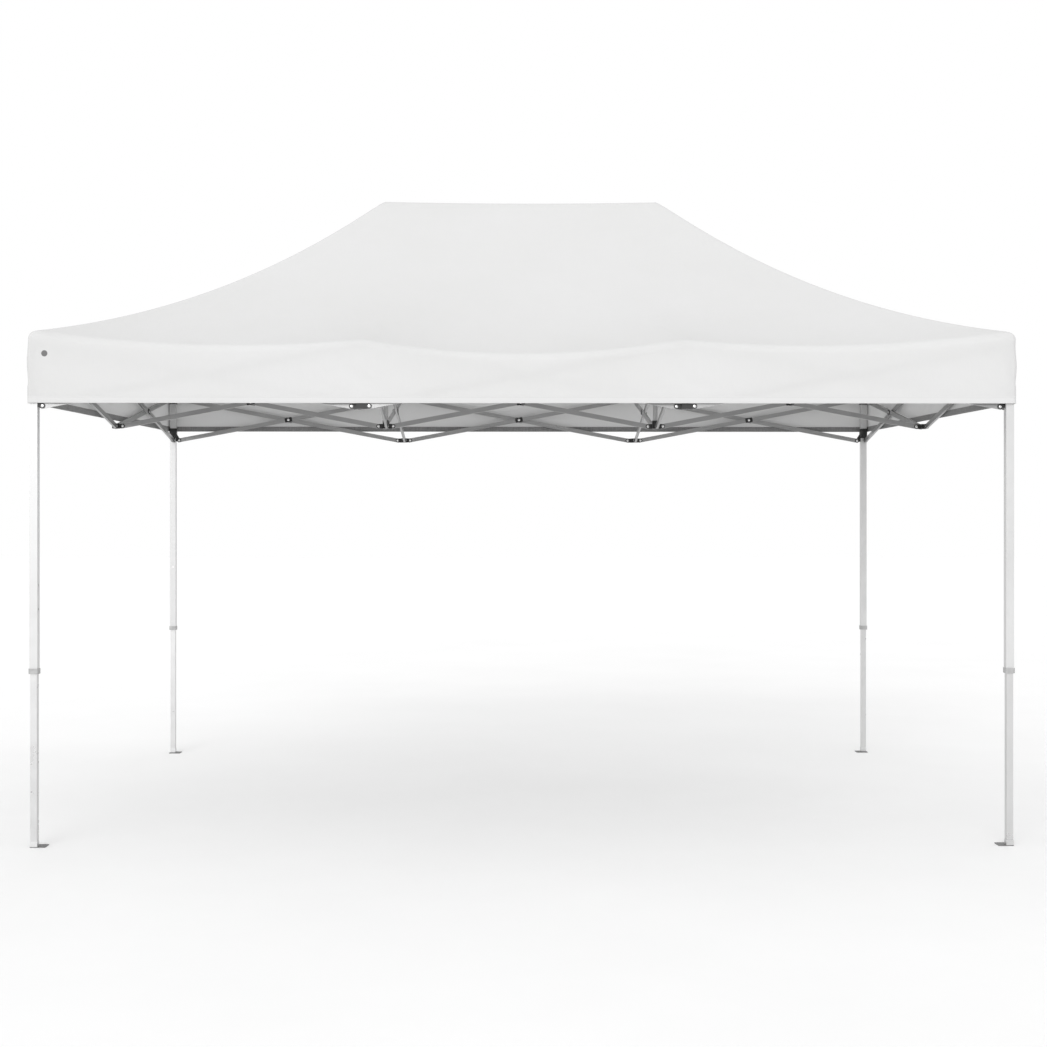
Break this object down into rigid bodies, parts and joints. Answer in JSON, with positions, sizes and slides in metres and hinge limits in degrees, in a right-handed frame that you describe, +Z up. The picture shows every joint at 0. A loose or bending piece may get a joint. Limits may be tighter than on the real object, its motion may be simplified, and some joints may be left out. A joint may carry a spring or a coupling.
{
  "type": "pop-up gazebo",
  "caption": "Pop-up garden gazebo: a peaked fabric canopy with a straight valance on a folding scissor frame with telescopic legs.",
  "frame": {"origin": "middle of the footprint, on the ground", "axes": "+X along the long side to the right as seen from the front, +Y from the front to the back, +Z up"},
  "size_m": [4.456, 2.99, 3.2035],
  "materials": {
    "canopy_fabric": "matt coated woven polyester",
    "outer_leg_metal": "satin powder coat",
    "inner_leg_metal": "satin anodised",
    "post_metal": "satin",
    "bar_metal": "satin",
    "bracket_plastic": "moulded, lightly grained"
  },
  "bodies": {
    "upper_hub_left": {"upper_hub_left": "bracket_plastic", "canopy": "canopy_fabric"},
    "leg_front_left": {"leg_front_left": "outer_leg_metal"},
    "upper_bracket_left_side": {"upper_bracket_left_side": "bracket_plastic"},
    "leg_back_left": {"leg_back_left": "outer_leg_metal"},
    "upper_bracket_front_left": {"upper_bracket_front_left": "bracket_plastic"},
    "upper_bracket_back_left": {"upper_bracket_back_left": "bracket_plastic"},
    "upper_bracket_front_right": {"upper_bracket_front_right": "bracket_plastic"},
    "upper_hub_right": {"upper_hub_right": "bracket_plastic"},
    "upper_bracket_back_right": {"upper_bracket_back_right": "bracket_plastic"},
    "leg_front_right": {"leg_front_right": "outer_leg_metal"},
    "upper_bracket_right_side": {"upper_bracket_right_side": "bracket_plastic"},
    "leg_back_right": {"leg_back_right": "outer_leg_metal"},
    "slider_front_left": {"slider_front_left": "bracket_plastic"},
    "lower_bracket_left_side": {"lower_bracket_left_side": "bracket_plastic"},
    "slider_back_left": {"slider_back_left": "bracket_plastic"},
    "lower_bracket_front_left": {"lower_bracket_front_left": "bracket_plastic"},
    "post_left": {"post_left": "post_metal"},
    "lower_bracket_back_left": {"lower_bracket_back_left": "bracket_plastic"},
    "lower_bracket_front_right": {"lower_bracket_front_right": "bracket_plastic"},
    "post_right": {"post_right": "post_metal"},
    "lower_bracket_back_right": {"lower_bracket_back_right": "bracket_plastic"},
    "slider_front_right": {"slider_front_right": "bracket_plastic"},
    "lower_bracket_right_side": {"lower_bracket_right_side": "bracket_plastic"},
    "slider_back_right": {"slider_back_right": "bracket_plastic"},
    "lower_leg_front_left": {"lower_leg_front_left": "inner_leg_metal"},
    "lower_leg_back_left": {"lower_leg_back_left": "inner_leg_metal"},
    "lower_leg_front_right": {"lower_leg_front_right": "inner_leg_metal"},
    "lower_leg_back_right": {"lower_leg_back_right": "inner_leg_metal"},
    "bar_front_left_falling": {"bar_front_left_falling": "bar_metal"},
    "bar_front_left_rising": {"bar_front_left_rising": "bar_metal"},
    "bar_back_left_falling": {"bar_back_left_falling": "bar_metal"},
    "bar_back_left_rising": {"bar_back_left_rising": "bar_metal"},
    "bar_front_centre_falling": {"bar_front_centre_falling": "bar_metal"},
    "bar_front_centre_rising": {"bar_front_centre_rising": "bar_metal"},
    "bar_middle_centre_falling": {"bar_middle_centre_falling": "bar_metal"},
    "bar_middle_centre_rising": {"bar_middle_centre_rising": "bar_metal"},
    "bar_back_centre_falling": {"bar_back_centre_falling": "bar_metal"},
    "bar_back_centre_rising": {"bar_back_centre_rising": "bar_metal"},
    "bar_front_right_falling": {"bar_front_right_falling": "bar_metal"},
    "bar_front_right_rising": {"bar_front_right_rising": "bar_metal"},
    "bar_back_right_falling": {"bar_back_right_falling": "bar_metal"},
    "bar_back_right_rising": {"bar_back_right_rising": "bar_metal"},
    "bar_left_side_front_falling": {"bar_left_side_front_falling": "bar_metal"},
    "bar_left_side_front_rising": {"bar_left_side_front_rising": "bar_metal"},
    "bar_left_side_back_falling": {"bar_left_side_back_falling": "bar_metal"},
    "bar_left_side_back_rising": {"bar_left_side_back_rising": "bar_metal"},
    "bar_left_post_front_falling": {"bar_left_post_front_falling": "bar_metal"},
    "bar_left_post_front_rising": {"bar_left_post_front_rising": "bar_metal"},
    "bar_left_post_back_falling": {"bar_left_post_back_falling": "bar_metal"},
    "bar_left_post_back_rising": {"bar_left_post_back_rising": "bar_metal"},
    "bar_right_post_front_falling": {"bar_right_post_front_falling": "bar_metal"},
    "bar_right_post_front_rising": {"bar_right_post_front_rising": "bar_metal"},
    "bar_right_post_back_falling": {"bar_right_post_back_falling": "bar_metal"},
    "bar_right_post_back_rising": {"bar_right_post_back_rising": "bar_metal"},
    "bar_right_side_front_falling": {"bar_right_side_front_falling": "bar_metal"},
    "bar_right_side_front_rising": {"bar_right_side_front_rising": "bar_metal"},
    "bar_right_side_back_falling": {"bar_right_side_back_falling": "bar_metal"},
    "bar_right_side_back_rising": {"bar_right_side_back_rising": "bar_metal"}
  },
  "joints": [
    {"name": "fold", "type": "hinge", "parent": "upper_hub_left", "child": "bar_middle_centre_falling", "pos_m": [-0.693, 0.007, 2.245], "axis": [0, 1, 0], "range_deg": [0, 75.5]},
    {"name": "bar_left_post_front_rising_pivot", "type": "hinge", "parent": "upper_hub_left", "child": "bar_left_post_front_rising", "pos_m": [-0.74, -0.04, 2.245], "axis": [1, 0, 0], "range_deg": [0, 75.5]},
    {"name": "bar_left_post_front_falling_pivot", "type": "hinge", "parent": "bar_left_post_front_rising", "child": "bar_left_post_front_falling", "pos_m": [-0.733, -0.733, 2.115], "axis": [-1, 0, 0], "range_deg": [0, 151]},
    {"name": "upper_bracket_front_left_pivot", "type": "hinge", "parent": "bar_left_post_front_falling", "child": "upper_bracket_front_left", "pos_m": [-0.726, -1.426, 2.245], "axis": [1, 0, 0], "range_deg": [0, 75.5]},
    {"name": "lower_bracket_front_left_pivot", "type": "hinge", "parent": "bar_left_post_front_rising", "child": "lower_bracket_front_left", "pos_m": [-0.74, -1.426, 1.985], "axis": [-1, 0, 0], "range_deg": [0, 75.5]},
    {"name": "bar_left_post_back_falling_pivot", "type": "hinge", "parent": "upper_hub_left", "child": "bar_left_post_back_falling", "pos_m": [-0.726, 0.04, 2.245], "axis": [-1, 0, 0], "range_deg": [0, 75.5]},
    {"name": "bar_left_post_back_rising_pivot", "type": "hinge", "parent": "bar_left_post_back_falling", "child": "bar_left_post_back_rising", "pos_m": [-0.733, 0.733, 2.115], "axis": [1, 0, 0], "range_deg": [0, 151]},
    {"name": "upper_bracket_back_left_pivot", "type": "hinge", "parent": "bar_left_post_back_rising", "child": "upper_bracket_back_left", "pos_m": [-0.74, 1.426, 2.245], "axis": [-1, 0, 0], "range_deg": [0, 75.5]},
    {"name": "lower_bracket_back_left_pivot", "type": "hinge", "parent": "bar_left_post_back_falling", "child": "lower_bracket_back_left", "pos_m": [-0.726, 1.426, 1.985], "axis": [1, 0, 0], "range_deg": [0, 75.5]},
    {"name": "bar_middle_centre_rising_pivot", "type": "hinge", "parent": "bar_middle_centre_falling", "child": "bar_middle_centre_rising", "pos_m": [0, 0, 2.115], "axis": [0, -1, 0], "range_deg": [0, 151]},
    {"name": "upper_hub_right_pivot", "type": "hinge", "parent": "bar_middle_centre_rising", "child": "upper_hub_right", "pos_m": [0.693, -0.007, 2.245], "axis": [0, 1, 0], "range_deg": [0, 75.5]},
    {"name": "post_right_pivot", "type": "hinge", "parent": "bar_middle_centre_falling", "child": "post_right", "pos_m": [0.693, 0.007, 1.985], "axis": [0, -1, 0], "range_deg": [0, 75.5]},
    {"name": "post_left_pivot", "type": "hinge", "parent": "bar_middle_centre_rising", "child": "post_left", "pos_m": [-0.693, -0.007, 1.985], "axis": [0, 1, 0], "range_deg": [0, 75.5]},
    {"name": "bar_right_post_front_rising_pivot", "type": "hinge", "parent": "upper_hub_right", "child": "bar_right_post_front_rising", "pos_m": [0.726, -0.04, 2.245], "axis": [1, 0, 0], "range_deg": [0, 75.5]},
    {"name": "bar_right_post_front_falling_pivot", "type": "hinge", "parent": "bar_right_post_front_rising", "child": "bar_right_post_front_falling", "pos_m": [0.733, -0.733, 2.115], "axis": [-1, 0, 0], "range_deg": [0, 151]},
    {"name": "upper_bracket_front_right_pivot", "type": "hinge", "parent": "bar_right_post_front_falling", "child": "upper_bracket_front_right", "pos_m": [0.74, -1.426, 2.245], "axis": [1, 0, 0], "range_deg": [0, 75.5]},
    {"name": "lower_bracket_front_right_pivot", "type": "hinge", "parent": "bar_right_post_front_rising", "child": "lower_bracket_front_right", "pos_m": [0.726, -1.426, 1.985], "axis": [-1, 0, 0], "range_deg": [0, 75.5]},
    {"name": "bar_right_post_back_falling_pivot", "type": "hinge", "parent": "upper_hub_right", "child": "bar_right_post_back_falling", "pos_m": [0.74, 0.04, 2.245], "axis": [-1, 0, 0], "range_deg": [0, 75.5]},
    {"name": "bar_right_post_back_rising_pivot", "type": "hinge", "parent": "bar_right_post_back_falling", "child": "bar_right_post_back_rising", "pos_m": [0.733, 0.733, 2.115], "axis": [1, 0, 0], "range_deg": [0, 151]},
    {"name": "upper_bracket_back_right_pivot", "type": "hinge", "parent": "bar_right_post_back_rising", "child": "upper_bracket_back_right", "pos_m": [0.726, 1.426, 2.245], "axis": [-1, 0, 0], "range_deg": [0, 75.5]},
    {"name": "lower_bracket_back_right_pivot", "type": "hinge", "parent": "bar_right_post_back_falling", "child": "lower_bracket_back_right", "pos_m": [0.74, 1.426, 1.985], "axis": [1, 0, 0], "range_deg": [0, 75.5]},
    {"name": "bar_front_left_rising_pivot", "type": "hinge", "parent": "upper_bracket_front_left", "child": "bar_front_left_rising", "pos_m": [-0.773, -1.473, 2.245], "axis": [0, -1, 0], "range_deg": [0, 75.5]},
    {"name": "bar_front_left_falling_pivot", "type": "hinge", "parent": "bar_front_left_rising", "child": "bar_front_left_falling", "pos_m": [-1.466, -1.466, 2.115], "axis": [0, 1, 0], "range_deg": [0, 151]},
    {"name": "leg_front_left_pivot", "type": "hinge", "parent": "bar_front_left_falling", "child": "leg_front_left", "pos_m": [-2.159, -1.459, 2.245], "axis": [0, -1, 0], "range_deg": [0, 75.5]},
    {"name": "slider_front_left_pivot", "type": "hinge", "parent": "bar_front_left_rising", "child": "slider_front_left", "pos_m": [-2.159, -1.473, 1.985], "axis": [0, 1, 0], "range_deg": [0, 75.5]},
    {"name": "bar_back_left_rising_pivot", "type": "hinge", "parent": "upper_bracket_back_left", "child": "bar_back_left_rising", "pos_m": [-0.773, 1.459, 2.245], "axis": [0, -1, 0], "range_deg": [0, 75.5]},
    {"name": "bar_back_left_falling_pivot", "type": "hinge", "parent": "bar_back_left_rising", "child": "bar_back_left_falling", "pos_m": [-1.466, 1.466, 2.115], "axis": [0, 1, 0], "range_deg": [0, 151]},
    {"name": "leg_back_left_pivot", "type": "hinge", "parent": "bar_back_left_falling", "child": "leg_back_left", "pos_m": [-2.159, 1.473, 2.245], "axis": [0, -1, 0], "range_deg": [0, 75.5]},
    {"name": "slider_back_left_pivot", "type": "hinge", "parent": "bar_back_left_rising", "child": "slider_back_left", "pos_m": [-2.159, 1.459, 1.985], "axis": [0, 1, 0], "range_deg": [0, 75.5]},
    {"name": "bar_front_right_falling_pivot", "type": "hinge", "parent": "upper_bracket_front_right", "child": "bar_front_right_falling", "pos_m": [0.773, -1.459, 2.245], "axis": [0, 1, 0], "range_deg": [0, 75.5]},
    {"name": "bar_front_right_rising_pivot", "type": "hinge", "parent": "bar_front_right_falling", "child": "bar_front_right_rising", "pos_m": [1.466, -1.466, 2.115], "axis": [0, -1, 0], "range_deg": [0, 151]},
    {"name": "leg_front_right_pivot", "type": "hinge", "parent": "bar_front_right_rising", "child": "leg_front_right", "pos_m": [2.159, -1.473, 2.245], "axis": [0, 1, 0], "range_deg": [0, 75.5]},
    {"name": "slider_front_right_pivot", "type": "hinge", "parent": "bar_front_right_falling", "child": "slider_front_right", "pos_m": [2.159, -1.459, 1.985], "axis": [0, -1, 0], "range_deg": [0, 75.5]},
    {"name": "bar_back_right_falling_pivot", "type": "hinge", "parent": "upper_bracket_back_right", "child": "bar_back_right_falling", "pos_m": [0.773, 1.473, 2.245], "axis": [0, 1, 0], "range_deg": [0, 75.5]},
    {"name": "bar_back_right_rising_pivot", "type": "hinge", "parent": "bar_back_right_falling", "child": "bar_back_right_rising", "pos_m": [1.466, 1.466, 2.115], "axis": [0, -1, 0], "range_deg": [0, 151]},
    {"name": "leg_back_right_pivot", "type": "hinge", "parent": "bar_back_right_rising", "child": "leg_back_right", "pos_m": [2.159, 1.459, 2.245], "axis": [0, 1, 0], "range_deg": [0, 75.5]},
    {"name": "slider_back_right_pivot", "type": "hinge", "parent": "bar_back_right_falling", "child": "slider_back_right", "pos_m": [2.159, 1.473, 1.985], "axis": [0, -1, 0], "range_deg": [0, 75.5]},
    {"name": "bar_left_side_front_falling_pivot", "type": "hinge", "parent": "leg_front_left", "child": "bar_left_side_front_falling", "pos_m": [-2.192, -1.426, 2.245], "axis": [-1, 0, 0], "range_deg": [0, 75.5]},
    {"name": "bar_left_side_front_rising_pivot", "type": "hinge", "parent": "bar_left_side_front_falling", "child": "bar_left_side_front_rising", "pos_m": [-2.199, -0.733, 2.115], "axis": [1, 0, 0], "range_deg": [0, 151]},
    {"name": "upper_bracket_left_side_pivot", "type": "hinge", "parent": "bar_left_side_front_rising", "child": "upper_bracket_left_side", "pos_m": [-2.206, -0.04, 2.245], "axis": [-1, 0, 0], "range_deg": [0, 75.5]},
    {"name": "lower_bracket_left_side_pivot", "type": "hinge", "parent": "bar_left_side_front_falling", "child": "lower_bracket_left_side", "pos_m": [-2.192, -0.04, 1.985], "axis": [1, 0, 0], "range_deg": [0, 75.5]},
    {"name": "bar_right_side_front_falling_pivot", "type": "hinge", "parent": "leg_front_right", "child": "bar_right_side_front_falling", "pos_m": [2.206, -1.426, 2.245], "axis": [-1, 0, 0], "range_deg": [0, 75.5]},
    {"name": "bar_right_side_front_rising_pivot", "type": "hinge", "parent": "bar_right_side_front_falling", "child": "bar_right_side_front_rising", "pos_m": [2.199, -0.733, 2.115], "axis": [1, 0, 0], "range_deg": [0, 151]},
    {"name": "upper_bracket_right_side_pivot", "type": "hinge", "parent": "bar_right_side_front_rising", "child": "upper_bracket_right_side", "pos_m": [2.192, -0.04, 2.245], "axis": [-1, 0, 0], "range_deg": [0, 75.5]},
    {"name": "lower_bracket_right_side_pivot", "type": "hinge", "parent": "bar_right_side_front_falling", "child": "lower_bracket_right_side", "pos_m": [2.206, -0.04, 1.985], "axis": [1, 0, 0], "range_deg": [0, 75.5]},
    {"name": "bar_front_centre_falling_pivot", "type": "hinge", "parent": "upper_bracket_front_left", "child": "bar_front_centre_falling", "pos_m": [-0.693, -1.459, 2.245], "axis": [0, 1, 0], "range_deg": [0, 75.5]},
    {"name": "bar_front_centre_rising_pivot", "type": "hinge", "parent": "upper_bracket_front_right", "child": "bar_front_centre_rising", "pos_m": [0.693, -1.473, 2.245], "axis": [0, -1, 0], "range_deg": [0, 75.5]},
    {"name": "bar_back_centre_falling_pivot", "type": "hinge", "parent": "upper_bracket_back_left", "child": "bar_back_centre_falling", "pos_m": [-0.693, 1.473, 2.245], "axis": [0, 1, 0], "range_deg": [0, 75.5]},
    {"name": "bar_back_centre_rising_pivot", "type": "hinge", "parent": "upper_bracket_back_right", "child": "bar_back_centre_rising", "pos_m": [0.693, 1.459, 2.245], "axis": [0, -1, 0], "range_deg": [0, 75.5]},
    {"name": "bar_left_side_back_falling_pivot", "type": "hinge", "parent": "upper_bracket_left_side", "child": "bar_left_side_back_falling", "pos_m": [-2.192, 0.04, 2.245], "axis": [-1, 0, 0], "range_deg": [0, 75.5]},
    {"name": "bar_left_side_back_rising_pivot", "type": "hinge", "parent": "leg_back_left", "child": "bar_left_side_back_rising", "pos_m": [-2.206, 1.426, 2.245], "axis": [1, 0, 0], "range_deg": [0, 75.5]},
    {"name": "bar_right_side_back_falling_pivot", "type": "hinge", "parent": "upper_bracket_right_side", "child": "bar_right_side_back_falling", "pos_m": [2.206, 0.04, 2.245], "axis": [-1, 0, 0], "range_deg": [0, 75.5]},
    {"name": "bar_right_side_back_rising_pivot", "type": "hinge", "parent": "leg_back_right", "child": "bar_right_side_back_rising", "pos_m": [2.192, 1.426, 2.245], "axis": [1, 0, 0], "range_deg": [0, 75.5]},
    {"name": "leg_extension_front_left", "type": "slide", "parent": "leg_front_left", "child": "lower_leg_front_left", "axis": [0, 0, 1], "range_m": [0, 0.7]},
    {"name": "leg_extension_back_left", "type": "slide", "parent": "leg_back_left", "child": "lower_leg_back_left", "axis": [0, 0, 1], "range_m": [0, 0.7]},
    {"name": "leg_extension_front_right", "type": "slide", "parent": "leg_front_right", "child": "lower_leg_front_right", "axis": [0, 0, 1], "range_m": [0, 0.7]},
    {"name": "leg_extension_back_right", "type": "slide", "parent": "leg_back_right", "child": "lower_leg_back_right", "axis": [0, 0, 1], "range_m": [0, 0.7]}
  ],
  "couplings": [
    {"joint": "bar_left_post_front_rising_pivot", "follows": "fold", "ratio": 1},
    {"joint": "bar_left_post_front_falling_pivot", "follows": "fold", "ratio": 2},
    {"joint": "upper_bracket_front_left_pivot", "follows": "fold", "ratio": 1},
    {"joint": "lower_bracket_front_left_pivot", "follows": "fold", "ratio": 1},
    {"joint": "bar_left_post_back_falling_pivot", "follows": "fold", "ratio": 1},
    {"joint": "bar_left_post_back_rising_pivot", "follows": "fold", "ratio": 2},
    {"joint": "upper_bracket_back_left_pivot", "follows": "fold", "ratio": 1},
    {"joint": "lower_bracket_back_left_pivot", "follows": "fold", "ratio": 1},
    {"joint": "bar_middle_centre_rising_pivot", "follows": "fold", "ratio": 2},
    {"joint": "upper_hub_right_pivot", "follows": "fold", "ratio": 1},
    {"joint": "post_right_pivot", "follows": "fold", "ratio": 1},
    {"joint": "post_left_pivot", "follows": "fold", "ratio": 1},
    {"joint": "bar_right_post_front_rising_pivot", "follows": "fold", "ratio": 1},
    {"joint": "bar_right_post_front_falling_pivot", "follows": "fold", "ratio": 2},
    {"joint": "upper_bracket_front_right_pivot", "follows": "fold", "ratio": 1},
    {"joint": "lower_bracket_front_right_pivot", "follows": "fold", "ratio": 1},
    {"joint": "bar_right_post_back_falling_pivot", "follows": "fold", "ratio": 1},
    {"joint": "bar_right_post_back_rising_pivot", "follows": "fold", "ratio": 2},
    {"joint": "upper_bracket_back_right_pivot", "follows": "fold", "ratio": 1},
    {"joint": "lower_bracket_back_right_pivot", "follows": "fold", "ratio": 1},
    {"joint": "bar_front_left_rising_pivot", "follows": "fold", "ratio": 1},
    {"joint": "bar_front_left_falling_pivot", "follows": "fold", "ratio": 2},
    {"joint": "leg_front_left_pivot", "follows": "fold", "ratio": 1},
    {"joint": "slider_front_left_pivot", "follows": "fold", "ratio": 1},
    {"joint": "bar_back_left_rising_pivot", "follows": "fold", "ratio": 1},
    {"joint": "bar_back_left_falling_pivot", "follows": "fold", "ratio": 2},
    {"joint": "leg_back_left_pivot", "follows": "fold", "ratio": 1},
    {"joint": "slider_back_left_pivot", "follows": "fold", "ratio": 1},
    {"joint": "bar_front_right_falling_pivot", "follows": "fold", "ratio": 1},
    {"joint": "bar_front_right_rising_pivot", "follows": "fold", "ratio": 2},
    {"joint": "leg_front_right_pivot", "follows": "fold", "ratio": 1},
    {"joint": "slider_front_right_pivot", "follows": "fold", "ratio": 1},
    {"joint": "bar_back_right_falling_pivot", "follows": "fold", "ratio": 1},
    {"joint": "bar_back_right_rising_pivot", "follows": "fold", "ratio": 2},
    {"joint": "leg_back_right_pivot", "follows": "fold", "ratio": 1},
    {"joint": "slider_back_right_pivot", "follows": "fold", "ratio": 1},
    {"joint": "bar_left_side_front_falling_pivot", "follows": "fold", "ratio": 1},
    {"joint": "bar_left_side_front_rising_pivot", "follows": "fold", "ratio": 2},
    {"joint": "upper_bracket_left_side_pivot", "follows": "fold", "ratio": 1},
    {"joint": "lower_bracket_left_side_pivot", "follows": "fold", "ratio": 1},
    {"joint": "bar_right_side_front_falling_pivot", "follows": "fold", "ratio": 1},
    {"joint": "bar_right_side_front_rising_pivot", "follows": "fold", "ratio": 2},
    {"joint": "upper_bracket_right_side_pivot", "follows": "fold", "ratio": 1},
    {"joint": "lower_bracket_right_side_pivot", "follows": "fold", "ratio": 1},
    {"joint": "bar_front_centre_falling_pivot", "follows": "fold", "ratio": 1},
    {"joint": "bar_front_centre_rising_pivot", "follows": "fold", "ratio": 1},
    {"joint": "bar_back_centre_falling_pivot", "follows": "fold", "ratio": 1},
    {"joint": "bar_back_centre_rising_pivot", "follows": "fold", "ratio": 1},
    {"joint": "bar_left_side_back_falling_pivot", "follows": "fold", "ratio": 1},
    {"joint": "bar_left_side_back_rising_pivot", "follows": "fold", "ratio": 1},
    {"joint": "bar_right_side_back_falling_pivot", "follows": "fold", "ratio": 1},
    {"joint": "bar_right_side_back_rising_pivot", "follows": "fold", "ratio": 1}
  ]
}
